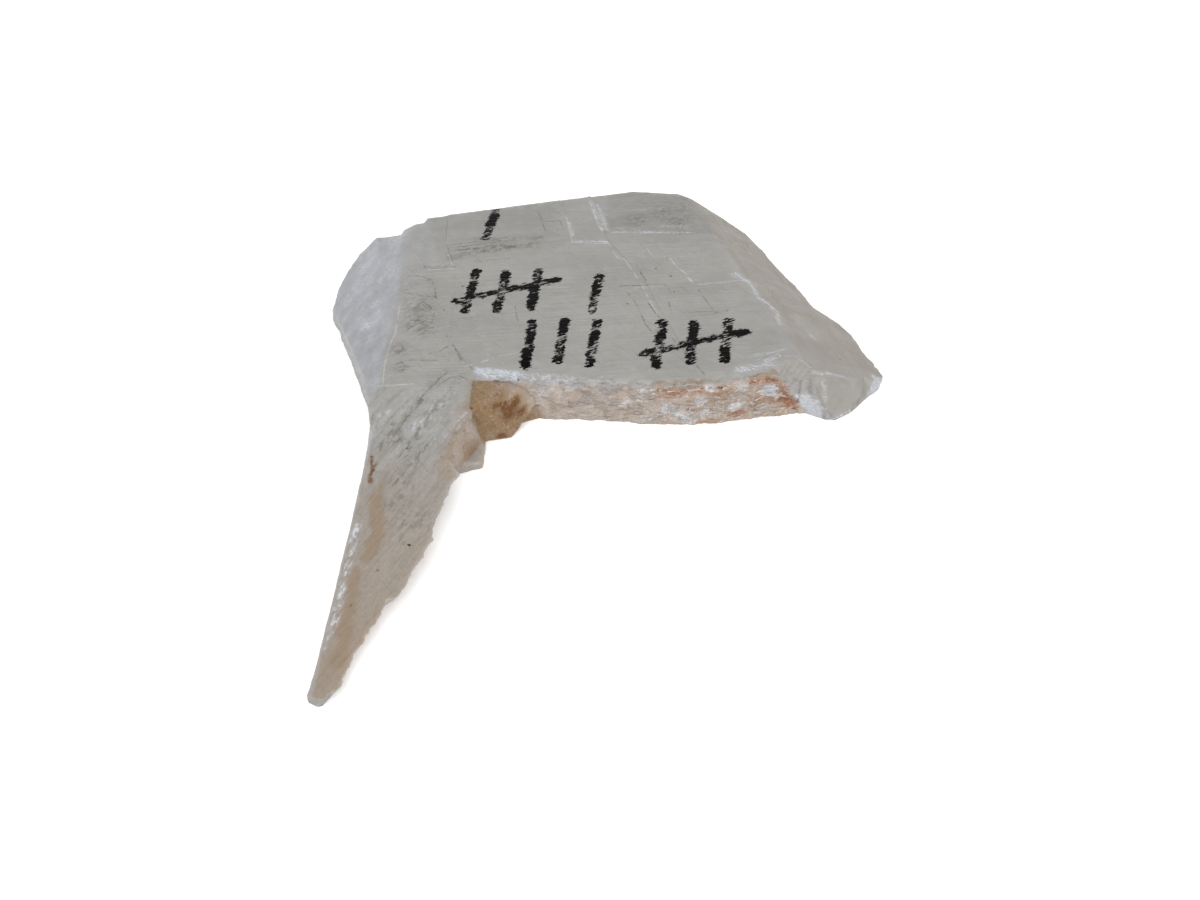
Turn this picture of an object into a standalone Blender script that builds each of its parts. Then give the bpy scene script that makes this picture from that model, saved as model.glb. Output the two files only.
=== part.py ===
"""Selenite crystal: a flat cleavage plate of gypsum, broken to an L shape and lying on its flat base.

The broad arm runs to +X, the tapering arm runs to -Y, and they meet in a filled re-entrant corner.
Everything is one solid, because the crystal grew and broke as one piece.
Z is up and the base is at Z 0. The origin ends up under the middle of the footprint's box.
The lists and driving sizes are in millimetres, drawn from the bend in the front wall.
"""

import math

import bmesh
import bpy
from mathutils import Matrix, Vector

MM = 0.001

# Heights of the plate.
PLATE_TOP = 11.0  # main cleavage face
SHEET_STEP = 0.35  # the sheets left at the back stand this much above it
TWIN_STEP = 0.15  # the face left of the long crack lies this much under it
TAB_TOP = 2.0  # thin tab in the re-entrant corner

# Slopes of the tapering arm's face, in millimetres of fall for each millimetre.
ARM_DROP = 0.125  # towards the tip
ARM_LEAN = 0.037  # towards the ragged edge
CREASE = (-45.0, -4.5)  # where that face leaves the main one, on the straight edge
ARM_RIGHT = -25.8  # it ends here, at the re-entrant corner

# Slopes of the bevels and walls, in degrees.
LEFT_DIP = 24.5
RIGHT_DIP = 24.2
ARM_EDGE_DIP = 47.0
LIP_DIP = 8.5
UNDERCUT = 34.0  # off upright, under the arm's ragged edge

REACH = 160.0  # a cutter block this big is larger than the crystal

# Footprint, anticlockwise from the tip of the tapering arm.
ARM_RAGGED_EDGE = [
    (-48.9, -71.9), (-46.6, -72.9), (-44.9, -71.9), (-42.7, -67.5), (-41.6, -62.6), (-39.3, -56.4),
    (-36.6, -51.9), (-33.7, -46.9), (-31.3, -40.8), (-30.8, -36.5), (-29.5, -32.0), (-28.0, -26.4),
    (-27.1, -23.9), (-28.2, -22.6), (-29.0, -20.8), (-28.0, -16.6), (-27.0, -13.5), (-26.3, -11.4),
    (-25.6, -7.9), (-25.9, -3.3),
]
FRONT_WALL = [
    (-25.8, 1.2), (-19.4, 1.7), (-12.9, 1.4), (-6.5, 0.9), (-1.9, 0.8), (5.9, 0.0), (11.0, -0.6),
    (17.2, -0.8), (24.1, -0.3), (31.7, 1.3), (37.0, 2.2), (41.5, 3.4), (45.5, 1.5),
]
RIGHT_RIM = [
    (48.2, 0.9), (51.0, 1.5), (55.0, 6.0), (57.4, 7.4), (60.4, 11.4), (59.8, 14.6), (57.8, 21.0),
    (56.3, 27.8), (53.5, 31.4), (48.3, 34.7), (45.4, 42.8), (41.7, 48.7), (38.7, 56.0), (35.3, 62.6),
]
BACK_EDGE = [
    (30.9, 65.9), (25.0, 69.9), (18.9, 73.2), (8.1, 74.2), (-1.2, 72.1), (-12.0, 69.2),
    (-23.4, 66.4), (-38.2, 62.6), (-40.9, 61.6), (-42.2, 59.6), (-46.4, 58.6), (-48.2, 57.2),
]
LEFT_BULGE = [
    (-53.8, 60.3), (-57.2, 56.0), (-59.5, 49.8), (-60.7, 42.9), (-60.9, 35.2), (-58.8, 30.7),
    (-57.2, 25.8), (-55.0, 20.4), (-51.3, 10.4), (-48.4, 2.6), (-46.7, -4.5),
]
ARM_STRAIGHT_EDGE = [
    (-45.7, -11.8), (-45.5, -21.9), (-45.9, -26.7), (-46.2, -35.1), (-46.8, -42.8), (-47.4, -52.1),
    (-48.4, -64.0), (-49.0, -69.6),
]
FOOTPRINT = ARM_RAGGED_EDGE + FRONT_WALL + RIGHT_RIM + BACK_EDGE + LEFT_BULGE + ARM_STRAIGHT_EDGE

# The main face stops at the two sheets left standing at the back, whose edges follow the cleavage.
MAIN_FACE = [
    (-80, 46.0), (-47.0, 45.5), (-41.0, 44.5), (-39.7, 40.6), (-32.9, 40.8), (-36.0, 51.3),
    (-36.9, 85), (-5.8, 85), (-2.3, 71.9), (2.4, 55.4), (26.5, 55.1), (80, 54.6), (80, -85), (-80, -85),
]
# The lower face stops at the long crack, which runs from the raised sheet to the front wall.
LOWER_FACE = [
    (-80, 45.2), (-47.4, 44.8), (-41.5, 43.9), (-40.2, 39.9), (-31.9, 40.1), (-35.2, 51.3), (-36.1, 85),
    (-6.6, 85), (-2.9, 71.0), (2.2, 51.3), (6.7, 42.8), (8.1, 42.5), (13.1, 24.6), (17.6, 10.5),
    (21.8, -4), (22, -85), (-80, -85),
]

# Lumps of broken crystal in the re-entrant corner, each the convex hull of its corners (x, y, z).
CORNER_SLOPE = [
    (-29.0, 4.0, 0), (-29.0, 4.0, 9.8), (-25.8, 2.6, 9.9), (-25.8, -6.4, 9.6), (-29.0, -7.0, 9.4),
    (-29.0, -7.0, 0), (-23.6, -5.5, 0), (-23.6, -5.6, 4.4), (-18.2, -4.6, 0), (-18.2, -4.5, 1.8),
    (-17.6, -2.0, 0), (-17.6, -1.9, 2.2), (-17.0, 2.6, 0), (-17.0, 2.6, 5.6), (-20.0, 2.6, 7.5),
]
CORNER_TOE = [
    (-20.0, 2.6, 0), (-20.0, 2.6, 6.0), (-20.0, -1.5, 0), (-20.0, -1.5, 2.6), (-16.8, -0.1, 0),
    (-16.8, 0.0, 1.8), (-15.4, 1.1, 0), (-15.3, 1.3, 1.9), (-12.9, 1.5, 0), (-12.9, 2.6, 0.8),
    (-14.0, 2.6, 3.6),
]
CORNER_FOOT = [
    (-31.0, -2.0, 0), (-31.0, -2.0, 9.2), (-25.9, -4.0, 9.7), (-25.8, -8.0, 9.3), (-27.3, -13.5, 8.6),
    (-28.6, -16.6, 8.1), (-31.0, -17.0, 7.8), (-31.0, -17.0, 0), (-28.4, -15.7, 0), (-27.4, -14.6, 2.0),
    (-23.8, -8.0, 2.4), (-23.7, -8.0, 0), (-23.5, -6.0, 3.0), (-23.6, -6.0, 0),
]
TAB_OUTLINE = [
    (-29.0, -3.0), (-29.5, -15.9), (-28.2, -15.6), (-26.1, -14.5), (-23.7, -13.9), (-23.4, -9.6),
    (-23.6, -5.2),
]


def mesh_from(source):
    """Turns the evaluated shape of source into a plain mesh object with its loose caps welded."""
    graph = bpy.context.evaluated_depsgraph_get()
    mesh = bpy.data.meshes.new_from_object(source.evaluated_get(graph))
    solid = bpy.data.objects.new(source.name + "_solid", mesh)
    solid.matrix_world = source.matrix_world.copy()
    bpy.data.objects.remove(source)
    shape = bmesh.new()
    shape.from_mesh(mesh)
    bmesh.ops.remove_doubles(shape, verts=shape.verts, dist=0.00001)
    bmesh.ops.recalc_face_normals(shape, faces=shape.faces)
    shape.to_mesh(mesh)
    shape.free()
    return solid


def prism(name, outline, bottom, top):
    """An upright solid with this outline, from height bottom to height top."""
    curve = bpy.data.curves.new(name, "CURVE")
    curve.dimensions = "2D"
    curve.fill_mode = "BOTH"
    curve.extrude = (top - bottom) / 2 * MM
    spline = curve.splines.new("POLY")
    spline.points.add(len(outline) - 1)
    for point, (x, y) in zip(spline.points, outline):
        point.co = (x * MM, y * MM, 0, 1)
    spline.use_cyclic_u = True
    flat = bpy.data.objects.new(name, curve)
    bpy.context.scene.collection.objects.link(flat)
    flat.location.z = (bottom + top) / 2 * MM
    bpy.context.view_layer.update()
    return mesh_from(flat)


def lump(name, corners):
    """The convex solid round these corners."""
    mesh = bpy.data.meshes.new(name)
    shape = bmesh.new()
    points = [shape.verts.new(Vector(corner) * MM) for corner in corners]
    found = bmesh.ops.convex_hull(shape, input=points)
    buried = [item for item in found["geom_interior"] if isinstance(item, bmesh.types.BMVert)]
    bmesh.ops.delete(shape, geom=buried, context="VERTS")
    bmesh.ops.recalc_face_normals(shape, faces=shape.faces)
    shape.to_mesh(mesh)
    shape.free()
    return bpy.data.objects.new(name, mesh)


def sloping(start, end, degrees):
    """The (point, normal, along) of the plane through start and end that falls away to their right."""
    along = (Vector(end) - Vector(start)).normalized()
    outward = Vector((along.y, -along.x, 0)).normalized()
    fall = math.radians(degrees)
    normal = outward * math.sin(fall) + outward.cross(along) * math.cos(fall)
    return (Vector(start) + Vector(end)) / 2, normal, along


def block(name, plane, width=REACH, length=REACH):
    """A block that stands on a plane, its foot centred on the plane's point.

    The foot is length long in the plane's direction and width wide across it.
    """
    point, normal, along = (Vector(part) for part in plane)
    up = normal.normalized()
    side = along.cross(up).normalized()
    turn = Matrix((side, up.cross(side), up)).transposed().to_4x4()
    centre = Matrix.Translation((point + up * REACH / 2) * MM)
    size = Matrix.Diagonal((width * MM, length * MM, REACH * MM, 1))
    bpy.ops.mesh.primitive_cube_add(size=1)
    cube = bpy.context.active_object
    cube.name = name
    cube.data.transform(centre @ turn @ size)
    return cube


def slope_cutters():
    """The blocks that cut the arm's falling face, the bevels, the undercut and the broken end."""
    face_width = 60
    face_middle = ARM_RIGHT - face_width / 2
    face_height = PLATE_TOP - ARM_LEAN * (face_middle - CREASE[0])
    arm_face = ((face_middle, CREASE[1], face_height), (ARM_LEAN, -ARM_DROP, 1), (0, 1, ARM_DROP))
    left_bevel = sloping((-44.8, 58.0, PLATE_TOP), (-44.8, -6.0, PLATE_TOP), LEFT_DIP)
    right_bevel = sloping((41.8, 9.1, PLATE_TOP), (24.2, 64.5, PLATE_TOP), RIGHT_DIP)
    arm_edge = sloping((-44.0, -9.0, 10.4), (-47.5, -68.2, 3.1), ARM_EDGE_DIP)
    upper_wall = sloping((-34.4, -51.0, 5.0), (-25.6, -17.6, 8.7), 90 + UNDERCUT)
    lower_wall = sloping((-46.9, -78.4, 1.9), (-35.2, -48.6, 5.0), 90 + UNDERCUT)
    broken_end = ((50.0, 3.5, 4.8), (0.46, -0.62, 0.64), (0.8, 0.6, 0))
    front_lip = sloping((-25.9, 5.3, PLATE_TOP), (9.0, 0.2, PLATE_TOP), LIP_DIP)
    return [
        block("left_bevel", left_bevel),
        block("right_bevel", right_bevel),
        block("arm_face", arm_face, width=face_width),
        block("arm_edge", arm_edge, width=30, length=76),
        block("upper_undercut", upper_wall, width=40, length=34.6),
        block("lower_undercut", lower_wall, width=40, length=33),
        block("broken_end", broken_end, width=60, length=60),
        block("front_lip", front_lip, width=16, length=35.3),
    ]


def combine(crystal, other, operation, tools):
    """Cuts other out of the crystal, or joins it on, and keeps it as a guide in the tools collection."""
    for collection in list(other.users_collection):
        collection.objects.unlink(other)
    tools.objects.link(other)
    other.hide_render = True
    other.display_type = "WIRE"
    change = crystal.modifiers.new(other.name, "BOOLEAN")
    change.operation = operation
    change.solver = "EXACT"
    change.object = other


def selenite():
    """Cloudy grey-beige gypsum."""
    material = bpy.data.materials.new("selenite")
    material.use_nodes = True
    shader = material.node_tree.nodes["Principled BSDF"]
    shader.inputs["Base Color"].default_value = (0.42, 0.41, 0.38, 1)
    shader.inputs["Roughness"].default_value = 0.35
    shader.inputs["Metallic"].default_value = 0.0
    return material


def main():
    for old in list(bpy.data.objects):
        bpy.data.objects.remove(old)
    parts = bpy.data.collections.new("selenite_crystal")
    tools = bpy.data.collections.new("cutters")
    bpy.context.scene.collection.children.link(parts)
    bpy.context.scene.collection.children.link(tools)

    crystal = prism("plate", FOOTPRINT, 0, PLATE_TOP + SHEET_STEP)
    crystal.name = "selenite_crystal"
    crystal.data.materials.append(selenite())
    parts.objects.link(crystal)

    lower_top = PLATE_TOP - TWIN_STEP
    cut_away = [
        prism("above_main_face", MAIN_FACE, PLATE_TOP, PLATE_TOP + 5),
        prism("above_lower_face", LOWER_FACE, lower_top, lower_top + 5),
    ]
    cut_away += slope_cutters()
    added = [
        lump("corner_slope", CORNER_SLOPE),
        lump("corner_toe", CORNER_TOE),
        lump("corner_foot", CORNER_FOOT),
        prism("tab", TAB_OUTLINE, 0, TAB_TOP),
    ]
    for other in cut_away:
        combine(crystal, other, "DIFFERENCE", tools)
    for other in added:
        combine(crystal, other, "UNION", tools)

    # Everything hangs on one empty, which puts the origin under the middle of the footprint.
    datum = bpy.data.objects.new("datum", None)
    parts.objects.link(datum)
    for axis, places in enumerate(zip(*FOOTPRINT)):
        datum.location[axis] = -(min(places) + max(places)) / 2 * MM
    for solid in [crystal] + cut_away + added:
        solid.parent = datum


main()
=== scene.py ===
"""A selenite crystal lying on a pale floor: a cloudy cleavage plate with a long tapering arm.

Shapes are drawn in millimetres on a plan whose zero lies at DRAWING_ZERO in the frame.
"""

import math
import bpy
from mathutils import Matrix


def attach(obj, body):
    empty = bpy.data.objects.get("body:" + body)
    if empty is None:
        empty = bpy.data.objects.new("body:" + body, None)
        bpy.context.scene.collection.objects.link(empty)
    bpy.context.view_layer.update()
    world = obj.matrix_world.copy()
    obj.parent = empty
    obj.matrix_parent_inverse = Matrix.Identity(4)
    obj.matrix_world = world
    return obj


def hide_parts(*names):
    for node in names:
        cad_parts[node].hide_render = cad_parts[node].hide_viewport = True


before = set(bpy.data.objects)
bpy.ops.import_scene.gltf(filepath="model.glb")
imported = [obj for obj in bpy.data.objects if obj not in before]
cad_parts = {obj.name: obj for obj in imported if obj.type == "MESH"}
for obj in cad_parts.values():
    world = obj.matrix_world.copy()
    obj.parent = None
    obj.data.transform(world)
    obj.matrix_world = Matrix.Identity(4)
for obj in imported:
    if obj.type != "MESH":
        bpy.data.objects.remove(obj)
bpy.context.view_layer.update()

from types import SimpleNamespace

import bmesh
import bpy
import numpy as np
from mathutils import Vector, geometry, noise

NODE = "selenite_crystal"
MM = 0.001
DRAWING_ZERO = (0.25, -0.65)


def added(name, data):
    """A new object in the scene, holding a mesh, a lamp or a camera."""
    made = bpy.data.objects.new(name, data)
    bpy.context.scene.collection.objects.link(made)
    return made


# ---------------------------------------------------------------- the plan

PLATE_TOP = 11.0

ARM_TIP = [(-49.3, -71.1), (-49, -71.9), (-48.3, -72.3), (-47.6, -72.9), (-46.5, -73.1), (-45.8, -72.6)]
ARM_RAGGED_EDGE = [
    (-44.9, -71.8), (-44, -70.5), (-43.3, -69), (-42.6, -66.7), (-42.1, -64.6),
    (-41.1, -62.4), (-39.5, -58.2), (-38.4, -55.4), (-37.5, -53), (-35.9, -52.1), (-34.7, -49.6),
    (-33.7, -46.8), (-33, -45.5), (-32.1, -43), (-31.4, -40.9), (-30.5, -39.8), (-30.6, -36.5),
    (-29.5, -32), (-28.6, -28.6), (-28.3, -26.4), (-27.1, -24.3),
    (-28.2, -22.6), (-29, -20.8), (-28, -16.6), (-27, -13.5),
]
ARM_ROOT = [(-26.3, -11.4), (-25.6, -7.9), (-25.9, -3.3)]
FRONT_WALL = [
    (-25.8, 1.2), (-19.4, 1.7), (-12.9, 1.4), (-6.5, 0.9), (-1.9, 0.8), (5.9, 0), (11, -0.6),
    (17.2, -0.8), (24.1, -0.3), (31.7, 1.3), (37, 2.2), (41.5, 3.4), (44.6, 2.3), (47.2, 1),
]
RIGHT_RIM = [
    (49, 0.9), (51.3, 1.9), (53.6, 3.9), (55, 6), (56.4, 7.6), (58, 8.6), (60, 10.4), (60.9, 12.8),
    (60.3, 15.2), (59.5, 16.2), (59.6, 17.6), (58.6, 18.9), (57.6, 21.6),
    (56.3, 27.8), (53.5, 31.4), (48.3, 34.7), (45.4, 42.8), (41.7, 48.7), (38.7, 56), (35.3, 62.6),
]
BACK_EDGE = [
    (30.9, 65.9), (25, 69.9), (18.9, 73.2), (8.1, 74.2), (-1.2, 72.1), (-12, 69.2),
    (-23.4, 66.4), (-38.2, 62.6), (-41.2, 61.8), (-41.9, 59.8), (-46.6, 58.5), (-47.1, 57), (-48.2, 57.2),
]
LEFT_BULGE = [
    (-53.8, 60.3), (-57.2, 56), (-59.5, 49.8), (-60.7, 42.9), (-60.9, 35.2), (-58.8, 30.7),
    (-57.2, 25.8), (-55, 20.4), (-51.3, 10.4), (-48.4, 2.6), (-46.7, -4.5),
]
ARM_STRAIGHT_EDGE = [
    (-45.7, -11.8), (-45.5, -21.9), (-45.9, -26.7), (-46.2, -35.1), (-46.8, -42.8), (-47.4, -52.1),
    (-48.4, -64), (-49, -69.6),
]
# Each stretch of the outline: its points, how ragged it is, and how far its wall leans in, in degrees.
STRETCHES = [
    (ARM_TIP, 0.12, 1),
    (ARM_RAGGED_EDGE, 0.42, 34),
    (ARM_ROOT, 0.08, 20),
    (FRONT_WALL, 0.40, 2),
    (RIGHT_RIM, 0.30, 8),
    (BACK_EDGE, 0.14, 2),
    (LEFT_BULGE, 0.20, 0),
    (ARM_STRAIGHT_EDGE, 0.10, 6),
]

# Edges of the thin cleavage sheets. The raised side is on a line's left, and the number is its height.
SHEET_EDGES = [
    ([(-36.9, 85), (-36, 51.3), (-32.9, 40.8), (-39.7, 40.6), (-41, 44.5), (-47, 45.5), (-80, 46)],
     0.22),
    ([(80, 54.6), (26.5, 55.1), (2.4, 55.4), (-2.3, 71.9), (-5.8, 85)], 0.35),
    ([(3, 50.9), (-5.9, 51.2), (-8.2, 63.1), (-12, 80)], 0.12),
    ([(22.5, -6), (17.6, 10.5), (13.1, 24.6), (8.1, 42.5), (6.7, 42.8), (2.2, 51.3), (-2.9, 71),
      (-6.6, 85)], -0.15),
]

# Hairline cracks that catch the light. Each is a line on the plan.
CRACKS = [
    [(-0.7, 68.4), (-0.1, 63.9), (0.8, 59.4), (2, 55.4)],
    [(-2.6, 70), (-1.4, 64), (-0.6, 59), (0.9, 55.2)],
    [(2.3, 55.2), (26.5, 55.1)],
    [(-8.2, 63.1), (-6.4, 51), (2, 50.6)],
    [(1.7, 51.4), (3.9, 44.6), (5.7, 44.1), (6.8, 40.9), (8.1, 37.1), (9.4, 33.7), (10.6, 28.9),
     (12.4, 22.7)],
    [(16, 44.4), (17.5, 40.4), (19.5, 38), (20.9, 34.3)], [(19.2, 37.6), (20.4, 34.3)],
    [(21.9, 33.9), (26.8, 34.6), (32.2, 35.6)], [(10.4, 49.8), (12.1, 44.6)],
    [(-40, 39.9), (-33.1, 40.3)],
    [(30.9, 37.6), (34, 34.6), (34.2, 30.8), (36.3, 28.9), (38.7, 25.1), (38.6, 19.7)],
    [(-33.2, 41.2), (-34.4, 44.6), (-35.2, 47.2)],
    [(-43.8, 26.1), (-43.6, 16.1), (-44.2, 12.6), (-44.6, 5.8), (-44.2, -0.7)],
    [(32.5, 3.2), (34, 5.6), (37.4, 7.9), (40.8, 8), (43.6, 5.6)],
    [(31.5, 5.5), (34.5, 8.6), (38.5, 10.2)],
    [(44, 4), (45.8, 4.1), (48, 5.6), (49.8, 5.8), (51.6, 6)],
    [(-45, -1.4), (-38, -0.6)],
    [(-28, 5), (-21, 8.2), (-12.7, 10.6)],
]
# Dark scratches.
SCRATCHES = [
    [(-34.1, 44.6), (-29.4, 46.3), (-23.2, 48.5), (-15.7, 49.3)],
    [(-35.5, 49.8), (-29.2, 51.4), (-22.2, 52.1)],
    [(-33, 47.9), (-25, 48.8), (-17.5, 50)],
    [(-40, 40.1), (-36.3, 40.6), (-33, 41.1)],
    [(-28.6, 43.1), (-20.7, 44.6)],
    [(-44.6, 35.7), (-43.2, 37.4), (-40.1, 37.4), (-37.7, 35.7), (-36.4, 31.9), (-36.5, 29.3), (-39.3, 29.8),
     (-43.4, 30.9)],
    [(-39.3, 27.2), (-37.6, 26.4), (-35.9, 23.6), (-36, 20.1), (-38.2, 18.9)],
    [(-41, 17.6), (-39.1, 19.6), (-36.8, 20.3)], [(-39.7, 15.6), (-38, 17.3), (-35.6, 18.1)],
    [(-41.5, 22.1), (-39.2, 23.1), (-37, 24.6)],
    [(-43.4, 10.3), (-43.1, 12.7), (-41.9, 12.4), (-41.1, 10.3), (-42.3, 9.2)],
    [(-42.2, 5.2), (-41.2, 6.4), (-40.2, 4.7), (-40.7, 2.9)],
    [(-36.9, 33.5), (-36, 28.8)], [(-30.6, 11.4), (-28.9, 6.6)],
    [(-41.6, 6.8), (-33.8, 6.8)],
    [(-36, 8.8), (-33.8, 9.6), (-32, 11.5)],
    [(-33, -1.1), (-30.7, 1.7), (-28.7, 2.1), (-26, 0.4)],
    [(-18.6, 26.1), (-18.2, 23), (-17.5, 19.7)],
    [(-15.1, 65), (-13.8, 60.5), (-13, 56.2)],
    [(-13.7, 60), (-9.6, 60.5), (-8.6, 56.7)],
    [(10.6, 26.9), (11.7, 23.9), (13.3, 20.5)], [(11.2, 25.3), (12.9, 21.5)],
    [(5.9, 31.1), (7.8, 27), (9.6, 19.7), (10.8, 16.7)], [(9, 39.1), (10.4, 35.3)],
    [(4.4, 33.5), (14.3, 33.9), (15.5, 31)], [(14.4, 43.9), (14.9, 44.7), (15.4, 44.2), (15.2, 43)],
    [(14.9, 27.3), (15.5, 23.3)], [(21.8, 31.7), (24.6, 23.9)], [(24.5, 22.7), (26.4, 23.6), (27.7, 24.2)],
    [(-35.4, 48.6), (-25.3, 50.9), (-13.7, 53.3)],
    [(15.3, 14.4), (17.2, 10), (21.4, 1.7)],
    [(17.9, 23.3), (27.7, 23.8)],
    [(-33, 16.1), (-29, 8.3), (-26.3, 4.2)],
    [(-37, -6), (-33, 1), (-31, 3.6)],
    [(-40.5, -15), (-38.5, -10), (-35.5, -5)],
]

STEP = 0.5  # spacing of the points round the rim and over the upper side
TRIANGLE_HEIGHT = 0.866  # height of an even triangle, over its side
CLEAR_OF_RIM = 0.55  # how near the net's points come to the rim, in steps
CLEAR_OF_CREASE = 0.45  # how near they come to a crease, in steps
CREASE_STEP = 0.6  # spacing of the points along a crack, a scratch or a sheet's edge
CREASE_TO_RIM = 0.4  # how near a crease comes to the rim
SHEET_EDGE_HALF = 0.08  # half the width of the slope at a sheet's edge
WALL_ROWS = 18  # rows of points from the rim down to the base
BASE_STEP = 2.2  # spacing of the flat base's points
RUBBLE_STEP = 0.3  # spacing of the rubble's points
CRISP = 40  # edges sharper than this many degrees stay crisp
# Rubble and the tab in the inner corner: convex lumps, by their corners.
RUBBLE = {
    "corner_slope": [
        (-29, 4, 0), (-29, 4, 10), (-25.3, 2.8, 10.4), (-25.2, -6.4, 10), (-29, -7, 9.5),
        (-29, -7, 0), (-23.6, -5.5, 0), (-23.6, -5.6, 4.4), (-18.2, -4.6, 0), (-18.2, -4.5, 1.8),
        (-17.6, -2, 0), (-17.6, -1.9, 2.2), (-17, 2.6, 0), (-12.4, 2.8, 5), (-14.6, 2.8, 8),
        (-18.5, 2.8, 9.8),
    ],
    "corner_toe": [
        (-20, 2.6, 0), (-20, 2.6, 6), (-20, -1.5, 0), (-20, -1.5, 2.6), (-16.8, -0.1, 0),
        (-16.8, 0, 1.8), (-15.4, 1.1, 0), (-15.3, 1.3, 1.9), (-12.9, 1.5, 0), (-11.4, 2.6, 1.4),
        (-12.2, 2.6, 4.2),
    ],
    "corner_foot": [
        (-31, -2, 0), (-31, -2, 9.2), (-25.9, -4, 9.7), (-25.8, -8, 9.3), (-27.3, -13.5, 8.6),
        (-28.6, -16.6, 8.1), (-31, -17, 7.8), (-31, -17, 0), (-28.4, -15.7, 0), (-27.4, -14.6, 2),
        (-23.8, -8, 2.4), (-23.7, -8, 0), (-23.5, -6, 3), (-23.6, -6, 0),
    ],
    "tab": [
        (-29, -3, 0), (-29.5, -15.9, 0), (-28.2, -15.6, 0), (-26.1, -14.5, 0), (-23.7, -13.9, 0),
        (-23.4, -9.6, 0), (-23.6, -5.2, 0), (-29, -3, 2), (-29.5, -15.9, 2), (-28.2, -15.6, 1.8),
        (-26.1, -14.5, 2), (-23.7, -13.9, 1.9), (-23.4, -9.6, 2.1), (-23.6, -5.2, 2),
    ],
}


# ---------------------------------------------------------------- numbers over many points

def smooth(low, high, value):
    """0 below low, 1 above high, and an even curve between. low may be the greater."""
    t = np.clip((value - low) / (high - low), 0, 1)
    return t * t * (3 - 2 * t)


def fractal(points, size, octaves=3, seed=0):
    """Fractal noise about 0 at each point. size is its coarsest grain, one number or one for each axis."""
    places = np.asarray(points, dtype=float) / size + seed * 17.3
    return np.array([noise.fractal(Vector(place), 1, 2, octaves) for place in places])


def nearest(points, line):
    """Each point's distance to a line of points, and the same with a minus sign on the line's right."""
    best = np.full(len(points), 1e9)
    side = np.zeros(len(points))
    for start, end in zip(np.array(line[:-1], dtype=float), np.array(line[1:], dtype=float)):
        run = end - start
        share = np.clip(((points - start) @ run) / (run @ run), 0, 1)
        away = points - start - share[:, None] * run
        distance = np.hypot(away[:, 0], away[:, 1])
        cross = run[0] * away[:, 1] - run[1] * away[:, 0]
        closer = distance < best - 1e-9
        side[closer] = np.sign(cross[closer])
        best = np.minimum(best, distance)
    return best, best * side


def slope(start, end, degrees):
    """The height of the plane through start and end that falls away to their right."""
    start, end = np.array(start, dtype=float), np.array(end, dtype=float)
    run = (end - start) / np.linalg.norm(end - start)
    outward = np.array([run[1], -run[0], 0]) / math.hypot(run[0], run[1])
    fall = math.radians(degrees)
    normal = outward * math.sin(fall) + np.cross(outward, run) * math.cos(fall)
    return lambda x, y: start[2] - (normal[0] * (x - start[0]) + normal[1] * (y - start[1])) / normal[2]


def lower_of(a, b, blend):
    """The lower of two heights, rounded where they are within blend of each other."""
    near = np.clip(blend - np.abs(a - b), 0, None) / blend
    return np.minimum(a, b) - near * near * blend / 4


# The slopes that the plate's upper side falls away by.
left_bevel = slope((-44.8, 58, PLATE_TOP), (-44.8, -6, PLATE_TOP), 24.5)
right_bevel = slope((41.8, 9.1, PLATE_TOP), (24.2, 64.5, PLATE_TOP), 24.2)
arm_edge = slope((-44, -9, 10.4), (-47.5, -68.2, 3.1), 47)
front_lip = slope((-25.9, 5.3, PLATE_TOP), (9, 0.2, PLATE_TOP), 8.5)


def arm_face(x, y):
    return PLATE_TOP - 0.037 * (x + 45) + 0.125 * (y + 4.5) + 0.35 * np.clip(x + 26.5, 0, None)


def broken_end(x, y):
    return 10.0 - 1.10 * (x - 45.8) + 1.89 * (y - 3.9) + 9.0 * np.clip(40.0 - x, 0, None)


def broken_corner(x, y):
    face = 6.6 - 3.19 * (x - 53) + 2.47 * (y - 6.3)
    return face + 3.5 * np.clip(x - 56, 0, None) + 9.0 * np.clip(45.0 - x, 0, None)


def scoop(x, y):
    """Depth of the hollow broken out beside the broken end."""
    return 2.6 * smooth(1, 0, np.hypot((x - 40.6) / 6.2, (y - 1.2) / 6.6))


def top_height(plan):
    """Height of the crystal's upper side at each point of the plan."""
    x, y = plan[:, 0], plan[:, 1]
    flat = np.column_stack([plan, np.zeros(len(plan))])
    waves = fractal(flat, 16, 2, 1)
    grain = fractal(flat, 3.2, 3, 2)
    height = np.full(len(plan), PLATE_TOP)
    for line, step in SHEET_EDGES:
        signed = nearest(plan, line)[1]
        height += step * smooth(-0.06, 0.06, signed)
    height += 0.04 * waves
    arm = arm_face(x, y) + 0.16 * waves + 0.07 * grain
    height = lower_of(height, arm, 0.9)
    height = lower_of(height, left_bevel(x, y) + 0.12 * grain + 0.2 * waves, 0.25)
    height = lower_of(height, right_bevel(x, y) + 0.08 * grain + 0.15 * waves, 0.7)
    edge = arm_edge(x, y) + 0.10 * grain + 0.9 * np.clip(y + 10, 0, None)
    height = lower_of(height, edge, 0.3)
    fan = np.arctan2(y + 3, x - 36)
    height = height - scoop(x, y) * (1 + 0.10 * np.sin(34 * fan)) + 0.3 * scoop(x, y) * grain
    height = lower_of(height, broken_end(x, y) + 0.35 * grain, 0.7)
    height = lower_of(height, broken_corner(x, y) + 0.35 * grain, 0.9)
    height = np.maximum(height, 0.7)
    lip = front_lip(x, y) + 0.10 * grain + 6.0 * np.clip(-25.9 - x, 0, None)
    height = np.minimum(height, lip)
    rim = nearest(plan, FRONT_WALL)[0]
    chips = np.clip(fractal(flat, 1.6, 3, 3) + 0.05, 0, None) * smooth(1.6, 0.2, rim)
    return height - 1.2 * chips * smooth(-24, -20, x)


# ---------------------------------------------------------------- the crystal's outline

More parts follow.
